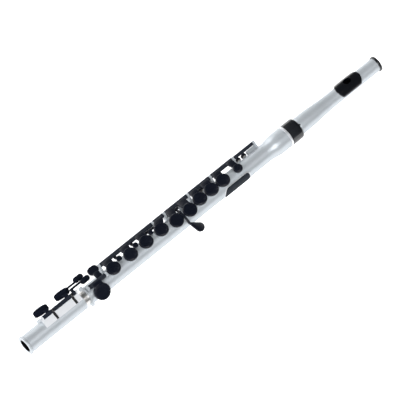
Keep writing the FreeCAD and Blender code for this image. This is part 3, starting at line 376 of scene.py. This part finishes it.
def strap(bm, points, widths, thickness, square=0.55):
    """A moulded arm: a rounded oblong section swept along a smooth line, with domed ends."""
    across = Vector((1, 0, 0))
    path = smooth_path(points)
    spread = smooth_path([(width, 0, 0) for width in widths])
    depth = smooth_path([(height, 0, 0) for height in thickness])
    rings = []
    last = len(path) - 1
    for index, point in enumerate(path):
        tangent = (path[min(index + 1, last)] - path[max(index - 1, 0)]).normalized()
        side = (across - tangent * across.dot(tangent)).normalized()
        up = tangent.cross(side)
        taper = ARM_TIP if index in (0, last) else 1.0
        ring = []
        for step in range(ARM_SIDES):
            turn = 2 * math.pi * step / ARM_SIDES
            c, s = math.cos(turn), math.sin(turn)
            u = math.copysign(abs(c) ** square, c) * spread[index].x * 0.5 * taper
            v = math.copysign(abs(s) ** square, s) * depth[index].x * 0.5 * taper
            ring.append(point + side * u + up * v)
        rings.append(ring_of(bm, ring))
    for first, second in zip(rings, rings[1:]):
        bridge(bm, first, second)
    run_in = (path[1] - path[0]).normalized()
    run_out = (path[-1] - path[-2]).normalized()
    cap(bm, rings[0], path[0] - run_in * ARM_DOME, True)
    cap(bm, rings[-1], path[-1] + run_out * ARM_DOME)


def pillow(bm, place, outline, thickness, edge, crown):
    """A finger plate: a closed outline with rounded rims, and a crowned or, below 0, dished top."""
    centre = sum((Vector(point) for point in outline), Vector((0, 0))) / len(outline)
    half = thickness / 2

    def ring_at(height, scale_of):
        ring = []
        for point in outline:
            out = Vector(point) - centre
            spot = centre + out * scale_of(out.length)
            ring.append(place @ Vector((spot.x, spot.y, height)))
        return ring_of(bm, ring)

    rings = []
    for step in range(RIM_STEPS + 1):
        turn = -math.pi / 2 + math.pi * step / RIM_STEPS
        inset = edge * (1 - math.cos(turn))
        flat = (half - edge) * (1 if turn > 0 else -1 if turn < 0 else 0)
        rings.append(ring_at(flat + edge * math.sin(turn), lambda length: (length - inset) / length))
    for scale in (0.75, 0.5, 0.25):
        rings.append(ring_at(half + crown * (1 - scale ** 2), lambda length: scale))
    for first, second in zip(rings, rings[1:]):
        bridge(bm, first, second)
    cap(bm, rings[0], place @ Vector((*centre, -half)), True)
    cap(bm, rings[-1], place @ Vector((*centre, half + crown)))


def oblong(half_long, half_short, power, count):
    """A rounded oblong outline about the origin; a lower power makes squarer corners."""
    points = []
    for step in range(count):
        turn = 2 * math.pi * step / count
        c, s = math.cos(turn), math.sin(turn)
        points.append((math.copysign(abs(c) ** power, c) * half_long,
                       math.copysign(abs(s) ** power, s) * half_short))
    return points


def finish_mesh(name, bm, material):
    bmesh.ops.recalc_face_normals(bm, faces=bm.faces)
    mesh = bpy.data.meshes.new(name)
    bm.to_mesh(mesh)
    bm.free()
    piece = bpy.data.objects.new(name, mesh)
    bpy.context.scene.collection.objects.link(piece)
    mesh.materials.append(material)
    for face in mesh.polygons:
        face.use_smooth = True
    mesh.set_sharp_from_angle(angle=SMOOTH_UNDER)
    return piece


def place_piece(piece, body, slot, *replaced):
    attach(piece, body)
    if replaced:
        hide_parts(*replaced)


def middle_x(node):
    low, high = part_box(node)
    return (low.x + high.x) / 2


def hinge_of(body):
    """The Y and Z of a key's hinge line."""
    return Vector(JOINTS[body]["pos_m"][1:])


def line_of(body):
    """The Y and Z of a key's hinge line, in millimetres."""
    return hinge_of(body) / MM


def stand_open(bm, body, degrees):
    """Turn a key's mesh about its hinge line, from closed to where it stands at rest."""
    line = hinge_of(body)
    pivot = Matrix.Translation((0, *line))
    turn = pivot @ Matrix.Rotation(math.radians(degrees), 4, "X") @ pivot.inverted()
    bmesh.ops.transform(bm, matrix=turn, verts=bm.verts)


def radial(x, degrees):
    """A placement whose Z leaves the bore's axis at this angle from +Z towards +Y."""
    return Matrix.Translation((x, 0, 0)) @ Matrix.Rotation(math.radians(-degrees), 4, "X")


# ---- keys ---------------------------------------------------------------------------------

# Heights of the pads' seats from the bore's axis, and the pads and cups above them.
SEAT = 14.6 * MM
FOOT_SEAT = 16.6 * MM
PAD_GAP = 0.12 * MM
PAD_PROUD = 0.9 * MM
PAD_THICKNESS = 2.0 * MM
PAD_MARGIN = 1.4 * MM
CUP_HEIGHT = 4.2 * MM
FOOT_CUP_HEIGHT = 7.2 * MM
D_SHARP_CUP_HEIGHT = 6.2 * MM
BIG, SMALL = 10.3 * MM, 6.8 * MM

# How far a key stands from closed at rest, in degrees about +X.
MAIN_OPEN = -7.5
FOOT_OPEN = 10.0
THUMB_OPEN = 10.0
THUMB_LEVER_REST = 8.0

# Radii of the hinge tubes and of their bores, in millimetres.
MAIN_TUBE, MAIN_BORE = 3.3, 1.26
THIN_TUBE, THIN_BORE = 1.8, 1.06
TRILL_SLEEVE = 2.6
SHAFT_BORE = 1.0
FOOT_SLEEVE = 2.9
D_SHARP_TUBE = 3.4

# Where each hinge tube of the main row starts and ends along X, in millimetres.
TUBES = {
    "d_key": (149.95, 175.2),
    "e_key": (175.45, 204.9),
    "f_key": (205.15, 243.35),
    "f_sharp_key": (247.05, 264.25),
    "g_key": (267.95, 307.75),
    "a_key": (311.45, 327.2),
    "a_sharp_key": (327.45, 348.95),
    "index_key": (352.65, 391.05),
}


def polar(radius, degrees):
    """Y and Z of a point at this distance and angle from the bore's axis, in millimetres."""
    turn = math.radians(degrees)
    return radius * math.sin(turn), radius * math.cos(turn)


def strap_at(bm, x, route, widths, thickness, square=0.55):
    """A strap at one place along X. The route is (Y, Z) points, and all lengths are in millimetres."""
    points = [(x * MM, y * MM, z * MM) for y, z in route]
    strap(bm, points, [width * MM for width in widths], [height * MM for height in thickness], square)


def cup(bm, x, degrees, radius, seat=SEAT, height=CUP_HEIGHT):
    """A cup with a recess below for its pad, a bevelled rim, and a faintly dished face."""
    under = seat + PAD_GAP + PAD_PROUD
    top = under + height
    recess = radius - PAD_MARGIN
    ceiling = seat + PAD_GAP + PAD_THICKNESS
    bevel, dish = 1.15 * MM, 0.24 * MM
    profile = [(0.0, ceiling), (recess, ceiling), (recess, under), (radius - 0.2 * MM, under),
               (radius, under + 0.5 * MM), (radius, top - bevel), (radius - bevel, top - 0.02 * MM),
               (radius - 2.1 * MM, top), (radius - 2.8 * MM, top - 0.16 * MM), (0.0, top - dish)]
    lathe(bm, radial(x, degrees), rounded(profile, 0.22 * MM), CUP_SIDES)


def arm_to_cup(bm, body, x_rod, x_cup, degrees, radius):
    """A blade from a main-row tube over to a cup's side, broad at the tube and no wider than it."""
    line = hinge_of(body)
    start, end = (limit * MM for limit in TUBES[body])
    reach = min(7.3 * MM, radius * 0.95)
    left = max(start + 0.5 * MM, x_rod - reach)
    right = min(end - 0.5 * MM, x_rod + reach)
    root = (left + right) / 2
    broad = right - left
    edge = math.radians(degrees)
    height = SEAT + PAD_PROUD + CUP_HEIGHT * 0.52

    def at(distance, x):
        return (x, height * math.sin(edge) + distance * math.cos(edge),
                height * math.cos(edge) - distance * math.sin(edge))

    rod = (root, line.x, line.y + 0.5 * MM)
    shoulder = (root, line.x - 2.6 * MM, line.y + 2.5 * MM)
    near = at(radius * 0.86, x_rod + (x_cup - x_rod) * 0.55)
    inner = at(radius * 0.55, x_rod + (x_cup - x_rod) * 0.8)
    strap(bm, [rod, shoulder, near, inner], [broad, broad, min(broad, radius * 1.3), radius],
          [3.5 * MM, 3.2 * MM, 2.9 * MM, 2.4 * MM], square=0.4)


def finish_key(body, bm, degrees=0.0, look="key_plastic"):
    """Stand the key at rest and hand it over in place of its CAD node."""
    stand_open(bm, body, degrees)
    piece = finish_mesh(body + "_piece", bm, MATERIALS[look])
    place_piece(piece, body, "key_plastic", body)


def main_key(body, cups, degrees=0.0, offsets=(0.0, 0.0)):
    """A key of the main row. Cups are (middle x, radius); an offset shifts an arm along X."""
    bm = bmesh.new()
    tube(bm, line_of(body), *TUBES[body], MAIN_TUBE, MAIN_BORE)
    for (x, radius), offset in zip(cups, offsets):
        cup(bm, x, degrees, radius)
        arm_to_cup(bm, body, x + offset * MM, x, degrees, radius)
    finish_key(body, bm, MAIN_OPEN)


def make_main_row():
    for body in ("d_key", "e_key", "f_key", "a_key", "a_sharp_key"):
        main_key(body, [(middle_x(body + "_pad"), BIG)])
    main_key("f_sharp_key", [(middle_x("f_sharp_key_pad"), BIG)], offsets=(7.2,))
    for body, degrees, radii, offsets in (("g_key", -12.0, (BIG, BIG), (2.2, 0.0)),
                                          ("index_key", 0.0, (BIG, SMALL), (0.0, -0.9))):
        low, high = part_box(body + "_pad")
        first = low.x + radii[0] - PAD_MARGIN
        second = high.x - radii[1] + PAD_MARGIN
        main_key(body, [(first, radii[0]), (second, radii[1])], degrees, offsets)


def in_block(toward_face, across):
    """Y and Z, in millimetres, of a point given square to the foot block's flat face."""
    return (across * math.cos(BLOCK_TILT) - toward_face * math.sin(BLOCK_TILT),
            across * math.sin(BLOCK_TILT) + toward_face * math.cos(BLOCK_TILT))


def capsule(bm, x_from, x_to, centre, radius, waist=0.12):
    """A roller along X with domed ends, narrower by its waist halfway. Lengths are in millimetres."""
    half = (x_to - x_from) / 2
    profile = [(0.0, 0.0)]
    for step in range(1, RIM_STEPS + 1):
        turn = math.pi / 2 * step / RIM_STEPS
        profile.append((radius * math.sin(turn), radius * (1 - math.cos(turn))))
    profile.append((radius - waist, half))
    profile += [(r, 2 * half - height) for r, height in reversed(profile[:-1])]
    place = Matrix.Translation((x_from * MM, centre[0] * MM, centre[1] * MM)) @ ALONG_X
    lathe(bm, place, [(r * MM, height * MM) for r, height in profile], ROLLER_SIDES)


def touch_plate(bm, x, y, z, half_long, half_short):
    """A small rounded finger plate of a trill key or of the side lever, in millimetres."""
    place = Matrix.Translation((x * MM, y * MM, z * MM))
    outline = oblong(half_long * MM, half_short * MM, 0.8, 28)
    pillow(bm, place, outline, 2.4 * MM, 0.7 * MM, 0.2 * MM)


def foot_cup(bm, x, arm_x):
    """A deep foot cup, its arm from the rod over the block's edge, and a rib on its face."""
    cup(bm, x * MM, 69.0, 11.5 * MM, FOOT_SEAT, FOOT_CUP_HEIGHT)
    line = line_of("low_c_key")
    route = [line, in_block(16.2, 18.1), in_block(13.4, 20.0), in_block(10.4, 20.4)]
    strap_at(bm, arm_x, route, [6.4, 6.6, 7.2, 7.6], [3.0, 2.5, 2.8, 2.6], square=0.45)
    rib = [in_block(9.6, 22.8), in_block(5.0, 23.9), in_block(-4.0, 24.0)]
    strap_at(bm, arm_x, rib, [7.0, 6.6, 5.0], [2.4, 1.6, 1.4], square=0.6)


def make_foot_keys():
    line = line_of("low_c_key")
    start, end = 39.2, 96.8
    bm = bmesh.new()
    foot_cup(bm, 47.0, 49.4)
    tube(bm, line, start, end, THIN_TUBE, THIN_BORE)
    for sleeve_start, sleeve_end in ((start, 54.15), (58.25, 66.0), (92.15, end)):
        tube(bm, line, sleeve_start, sleeve_end, FOOT_SLEEVE, 1.7)
    root = [line, in_block(16.3, 18.6), in_block(13.0, 20.1)]
    strap_at(bm, 94.6, root, [4.4, 4.4, 4.0], [2.8, 2.4, 2.4])
    capsule(bm, 92.6, 116.0, (14.3, 19.4), 1.5, 0.0)
    capsule(bm, 112.0, 127.6, (13.6, 16.8), 4.2)
    finish_key("low_c_key", bm, FOOT_OPEN, "foot_key_plastic")

    bm = bmesh.new()
    foot_cup(bm, 84.3, 83.3)
    tube(bm, line, 66.25, 88.05, FOOT_SLEEVE, 1.86)
    capsule(bm, 84.3, 111.0, (20.2, 12.4), 1.4, 0.0)
    capsule(bm, 107.0, 123.2, (22.0, 11.5), 4.2)
    finish_key("low_c_sharp_key", bm, FOOT_OPEN, "foot_key_plastic")


def make_d_sharp_key():
    cup_x, touch_x = 127.0, 136.8
    bm = bmesh.new()
    tube(bm, line_of("d_sharp_key"), 115.25, 144.15, D_SHARP_TUBE, THIN_BORE)
    cup(bm, cup_x * MM, -45.0, 12.0 * MM, height=D_SHARP_CUP_HEIGHT)
    route = [(0.6, 21.0), polar(21.0, -14.0), polar(20.4, -30.0), polar(19.0, -43.0)]
    strap_at(bm, cup_x, route, [14.6, 15.0, 14.0, 11.0], [3.2, 3.0, 2.6, 2.2], square=0.4)
    stem = [(0.6, 19.8), (6.0, 20.0), (13.0, 18.9)]
    strap_at(bm, touch_x, stem, [10.0, 10.0, 10.6], [3.2, 2.8, 2.6])
    place = Matrix.Translation((touch_x * MM, 17.0 * MM, 18.4 * MM))
    pillow(bm, place, oblong(8.2 * MM, 6.4 * MM, 0.75, 40), 3.2 * MM, 1.0 * MM, 0.25 * MM)
    finish_key("d_sharp_key", bm)


def teardrop(root_half, reach, radius, sideways):
    """A teardrop in X and Y: a narrow root at the origin, and a round end down along -Y."""
    centre = Vector((sideways, -reach))
    points = []
    for side in (-1, 1):
        root = Vector((side * root_half, 0))
        run = centre - root
        heading = math.atan2(run.y, run.x) + side * math.asin(radius / run.length)
        length = math.sqrt(run.length ** 2 - radius ** 2)
        touch = root + Vector((math.cos(heading), math.sin(heading))) * length
        points.append((root, touch))
    (left_root, left), (right_root, right) = points
    start = math.atan2(left.y - centre.y, left.x - centre.x)
    stop = math.atan2(right.y - centre.y, right.x - centre.x)
    while stop < start:
        stop += 2 * math.pi
    neck, bend = 8, 28
    outline = [tuple(left_root.lerp(left, step / neck)) for step in range(neck)]
    for step in range(bend + 1):
        turn = start + (stop - start) * step / bend
        outline.append((centre.x + radius * math.cos(turn), centre.y + radius * math.sin(turn)))
    outline += [tuple(right.lerp(right_root, step / neck)) for step in range(1, neck + 1)]
    return outline


def make_g_sharp_key():
    line = line_of("g_sharp_key")
    cup_x, touch_x = 276.0, 283.2
    bm = bmesh.new()
    tube(bm, line, 267.95, 289.15, THIN_TUBE, THIN_BORE)
    cup(bm, cup_x * MM, 105.0, 7.0 * MM)
    back = [line, polar(17.6, 82.0), polar(18.4, 96.0), polar(18.6, 105.0)]
    strap_at(bm, cup_x, back, [5.0, 5.2, 5.4, 5.0], [2.8, 2.6, 2.4, 2.2])
    over = [line, (9.9, 13.9), (4.0, 18.3), (-7.0, 18.2), (-16.6, 13.7)]
    strap_at(bm, touch_x, over, [3.0, 3.0, 3.0, 3.2, 3.8], [2.8, 2.7, 2.6, 2.6, 2.4])
    thickness, dish = 2.6 * MM, 0.45 * MM
    place = (Matrix.Translation((touch_x * MM, -15.0 * MM, 13.2 * MM))
             @ Matrix.Rotation(math.radians(24.0), 4, "X") @ Matrix.Translation((0, 0, thickness / 2)))
    outline = teardrop(1.6 * MM, 13.3 * MM, 6.6 * MM, 8.4 * MM)
    pillow(bm, place, outline, thickness, 0.9 * MM, -dish)
    finish_key("g_sharp_key", bm)


def make_trill_keys():
    for body, touch_x, cup_x, spans, bore in (
            ("d_trill_key", 204.55, 402.7,
             ((200.8, 398.0, THIN_TUBE), (396.0, 407.6, TRILL_SLEEVE)), THIN_BORE),
            ("d_sharp_trill_key", 174.85, 412.9,
             ((171.2, 178.6, THIN_TUBE), (408.0, 431.6, TRILL_SLEEVE)), SHAFT_BORE)):
        line = line_of(body)
        bm = bmesh.new()
        for start, end, outer in spans:
            tube(bm, line, start, end, outer, bore)
        cup(bm, cup_x * MM, 95.0, 4.2 * MM)
        back = [line, polar(19.6, 84.0), polar(18.2, 95.0)]
        strap_at(bm, cup_x, back, [4.4, 4.2, 4.0], [3.0, 2.6, 2.2])
        route = [line, (16.4, 9.0), (12.9, 10.3), (9.8, 15.4), (8.4, 18.4)]
        strap_at(bm, touch_x, route, [4.8, 4.8, 5.2, 5.6, 5.8], [2.4, 2.2, 2.2, 2.2, 2.0])
        touch_plate(bm, touch_x, 6.8, 18.9, 4.1, 3.9)
        finish_key(body, bm)


def make_side_lever():
    line = line_of("side_b_flat_lever")
    touch_x = 232.5
    bm = bmesh.new()
    tube(bm, line, 223.85, 243.35, THIN_TUBE, THIN_BORE)
    strap_at(bm, touch_x, [line, (9.8, 15.2), (8.6, 18.4)], [4.8, 5.0, 5.2], [2.4, 2.2, 2.0])
    touch_plate(bm, touch_x, 7.3, 18.9, 3.5, 3.4)
    finish_key("side_b_flat_lever", bm)


def make_thumb_keys():
    """The thumb's key and its lever turn on one line, and their touches curve the same way."""
    line = line_of("thumb_b_key")
    route = [(16.6, 3.8), (16.9, -1.0), (16.2, -6.0), (11.8, -11.8)]
    cup_x = 341.0
    bm = bmesh.new()
    tube(bm, line, 329.45, 348.95, THIN_TUBE, THIN_BORE)
    cup(bm, cup_x * MM, 112.0, 7.4 * MM)
    back = [(17.2, 3.8), polar(18.0, 96.0), polar(18.8, 108.0)]
    strap_at(bm, cup_x, back, [6.0, 6.2, 6.0], [2.4, 2.4, 2.2])
    strap_at(bm, 331.3, route, [3.6] * 4, [2.4] * 4)
    finish_key("thumb_b_key", bm, THUMB_OPEN)

    bm = bmesh.new()
    tube(bm, line, 319.85, 329.2, THIN_TUBE, THIN_BORE)
    strap_at(bm, 324.4, route, [7.2] * 4, [2.4] * 4)
    finish_key("thumb_b_flat_lever", bm, THUMB_LEVER_REST)


# ---- tube fittings --------------------------------------------------------------------------

# The angle of the hand rest's middle, from +Z towards +Y.
REST_DEGREES = -68.5
EDGE_STEPS = 5
STADIUM_STEPS = 12


def make_crown():
    """The black crown: a rimmed cap with a low dome, and the plug that fills the tube's end."""
    low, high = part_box("crown_cap")
    radius = (high.y - low.y) / 2
    tip = high.x
    plug_end, rim, hole_end = 0.636, 0.6451, 0.6490
    plug, screw_hole = 8.5 * MM, 2.06 * MM
    profile = [(screw_hole, plug_end), (plug, plug_end), (plug, rim), (radius - 0.6 * MM, rim),
               (radius, rim + 0.6 * MM), (radius, tip - 3.0 * MM), (radius - 2.2 * MM, tip - 1.96 * MM),
               (7.0 * MM, tip - 0.7 * MM), (4.0 * MM, tip - 0.1 * MM), (0.0, tip)]
    profile = rounded(profile, 0.5 * MM)
    profile += [(0.0, hole_end + 0.2 * MM), (screw_hole, hole_end)]
    bm = bmesh.new()
    lathe(bm, ALONG_X, profile, CUP_SIDES)
    piece = finish_mesh("crown_piece", bm, MATERIALS["black_plastic"])
    place_piece(piece, "crown", "black_plastic", "crown_cap")


def wrapped(bm, outline, centre_x, inner, outer, edge):
    """A skin wrapped on the tube. Its outline is (x, arc length) about the hand rest's middle."""
    middle = math.radians(REST_DEGREES)

    def ring_at(radius, scale_of):
        ring = []
        for point in outline:
            out = Vector(point)
            x, arc = out * scale_of(out.length)
            turn = middle + arc / outer
            ring.append((centre_x + x, radius * math.sin(turn), radius * math.cos(turn)))
        return ring_of(bm, ring)

    def middle_at(radius):
        return centre_x, radius * math.sin(middle), radius * math.cos(middle)

    bottom = ring_at(inner, lambda length: 1.0)
    rings = [bottom, ring_at(outer - edge, lambda length: 1.0)]
    for step in range(1, EDGE_STEPS + 1):
        turn = math.pi / 2 * step / EDGE_STEPS
        inset = edge * (1 - math.cos(turn))
        rings.append(ring_at(outer - edge + edge * math.sin(turn), lambda length: (length - inset) / length))
    shrinking = [step / 10 for step in range(9, 0, -1)]
    rings += [ring_at(outer, lambda length: scale) for scale in shrinking]
    for first, second in zip(rings, rings[1:]):
        bridge(bm, first, second)
    cap(bm, rings[-1], middle_at(outer))
    bottoms = [bottom] + [ring_at(inner, lambda length: scale) for scale in shrinking]
    for first, second in zip(bottoms, bottoms[1:]):
        bridge(bm, second, first)
    cap(bm, bottoms[-1], middle_at(inner), True)


def stadium(half_long, half_wide, radius):
    """A rectangle with round corners, in X and Y."""
    points = []
    for corner, (sx, sy) in enumerate(((1, 1), (-1, 1), (-1, -1), (1, -1))):
        for step in range(STADIUM_STEPS + 1):
            turn = math.pi / 2 * (corner + step / STADIUM_STEPS)
            points.append((sx * (half_long - radius) + radius * math.cos(turn),
                           sy * (half_wide - radius) + radius * math.sin(turn)))
    return points


def make_hand_rest():
    """The rubber grip, slanted at its foot end, and the raised border that frames it on the body."""
    low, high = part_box("hand_rest_pad")
    middle = (low.x + high.x) / 2
    half = (high.x - low.x) / 2
    half_wide, lean, margin = 6.7 * MM, 4.0 * MM, 1.3 * MM
    slanted = []
    for x, y in stadium(half, half_wide, 5.0 * MM):
        slanted.append((x if x > 0 else x * (1 - lean / half) + y / half_wide * lean, y))
    bm = bmesh.new()
    wrapped(bm, slanted, middle, 13.5 * MM, 14.4 * MM, 0.6 * MM)
    piece = finish_mesh("hand_rest_piece", bm, MATERIALS["rest_rubber"])
    place_piece(piece, "body", "rest_rubber", "hand_rest_pad")

    wider = [(x + math.copysign(margin, x), y + math.copysign(margin, y)) for x, y in slanted]
    bm = bmesh.new()
    wrapped(bm, wider, middle, 12.6 * MM, 13.9 * MM, 0.5 * MM)
    border = finish_mesh("hand_rest_border", bm, MATERIALS["bright_plastic"])
    place_piece(border, "body", "bright_plastic")


# ---- carried-over CAD nodes -----------------------------------------------------------------

SOFT_EDGED = ("lip_plate", "foot_rod_clips")
SOFT_EDGE = 0.45 * MM
SOFTEN_OVER = math.radians(42.0)
SEAM = 0.005 * MM


def dress_cad_nodes():
    """Give every CAD node its slot's material, and ease the edges of two of them."""
    for node, piece in frame["nodes"].items():
        material = MATERIALS[SLOT_OF[node]]
        if not piece.material_slots:
            piece.data.materials.append(material)
        for slot in piece.material_slots:
            slot.material = material
    for node in SOFT_EDGED:
        weld = frame["nodes"][node].modifiers.new("join", "WELD")
        weld.merge_threshold = SEAM
        bevel = frame["nodes"][node].modifiers.new("soft_edge", "BEVEL")
        bevel.width = SOFT_EDGE
        bevel.segments = 3
        bevel.limit_method = "ANGLE"
        bevel.angle_limit = SOFTEN_OVER
        bevel.harden_normals = True


# ---- floor, light and camera ----------------------------------------------------------------

FLOOR_GAP = 0.05 * MM
FLOOR_HALF = 30.0
CAMERA_PLACE = (-1.3529, -1.8420, 4.8787)
CAMERA_AIM = (0.3057, 0.3373, -0.8903)
CAMERA_ROLL = math.radians(0.12)


def make_stage():
    low = CAD_BOX[0]
    bm = bmesh.new()
    bmesh.ops.create_grid(bm, x_segments=1, y_segments=1, size=FLOOR_HALF)
    mesh = bpy.data.meshes.new("floor")
    bm.to_mesh(mesh)
    bm.free()
    floor = bpy.data.objects.new("floor", mesh)
    bpy.context.scene.collection.objects.link(floor)
    floor.location = (0, 0, low[2] - FLOOR_GAP)
    material, _, shader = new_material("floor_white", (0.93, 0.93, 0.93), 0.9)
    shader.inputs["Emission Color"].default_value = (1, 1, 1, 1)
    shader.inputs["Emission Strength"].default_value = 0.85
    mesh.materials.append(material)


def soft_sun(name, direction, spread_degrees, strength):
    """A distant soft box: it shines along the direction, from a disc this wide."""
    light = bpy.data.lights.new(name, "SUN")
    light.angle = math.radians(spread_degrees)
    light.energy = strength
    lamp = bpy.data.objects.new(name, light)
    bpy.context.scene.collection.objects.link(lamp)
    lamp.rotation_euler = Vector(direction).to_track_quat("-Z", "Y").to_euler()


def make_world():
    """A dim even room, a little paler low down, so that black gloss facing up stays black."""
    world = bpy.data.worlds.new("studio")
    world.use_nodes = True
    tree = world.node_tree
    place = tree.nodes.new("ShaderNodeTexCoord")
    split = tree.nodes.new("ShaderNodeSeparateXYZ")
    tree.links.new(place.outputs["Generated"], split.inputs["Vector"])
    glow = remap(tree, split.outputs["Z"], 0.22, 0.10, 0.0, 0.55)
    shade = tree.nodes["Background"]
    shade.inputs["Color"].default_value = (1, 1, 1, 1)
    tree.links.new(glow, shade.inputs["Strength"])
    bpy.context.scene.world = world


def make_lights():
    """Three soft lights: from the viewer's side, from the foot's end, and from beyond the flute."""
    soft_sun("key_light", (0.20, 0.50, -0.85), 42, 2.15)
    soft_sun("foot_light", (0.85, -0.05, -0.50), 100, 0.7)
    soft_sun("far_light", (0.25, -0.90, -0.35), 60, 2.2)
    bpy.context.scene.view_settings.view_transform = "Standard"


def make_camera():
    """The view is from high above the audience's side, past the foot's end, through a long lens."""
    data = bpy.data.cameras.new("camera")
    data.sensor_width = 36.0
    data.lens = 360.0
    data.clip_end = 50.0
    camera = bpy.data.objects.new("camera", data)
    bpy.context.scene.collection.objects.link(camera)
    forward = Vector(CAMERA_AIM).normalized()
    right = forward.cross(Vector((0, 0, 1))).normalized()
    up = right.cross(forward)
    cosine, sine = math.cos(CAMERA_ROLL), math.sin(CAMERA_ROLL)
    right, up = right * cosine + up * sine, up * cosine - right * sine
    turn = Matrix((right, up, -forward)).transposed().to_4x4()
    camera.matrix_world = Matrix.Translation(CAMERA_PLACE) @ turn
    bpy.context.scene.camera = camera


dress_cad_nodes()
make_main_row()
make_foot_keys()
make_d_sharp_key()
make_g_sharp_key()
make_trill_keys()
make_side_lever()
make_thumb_keys()
make_crown()
make_hand_rest()
make_stage()
make_world()
make_lights()
make_camera()
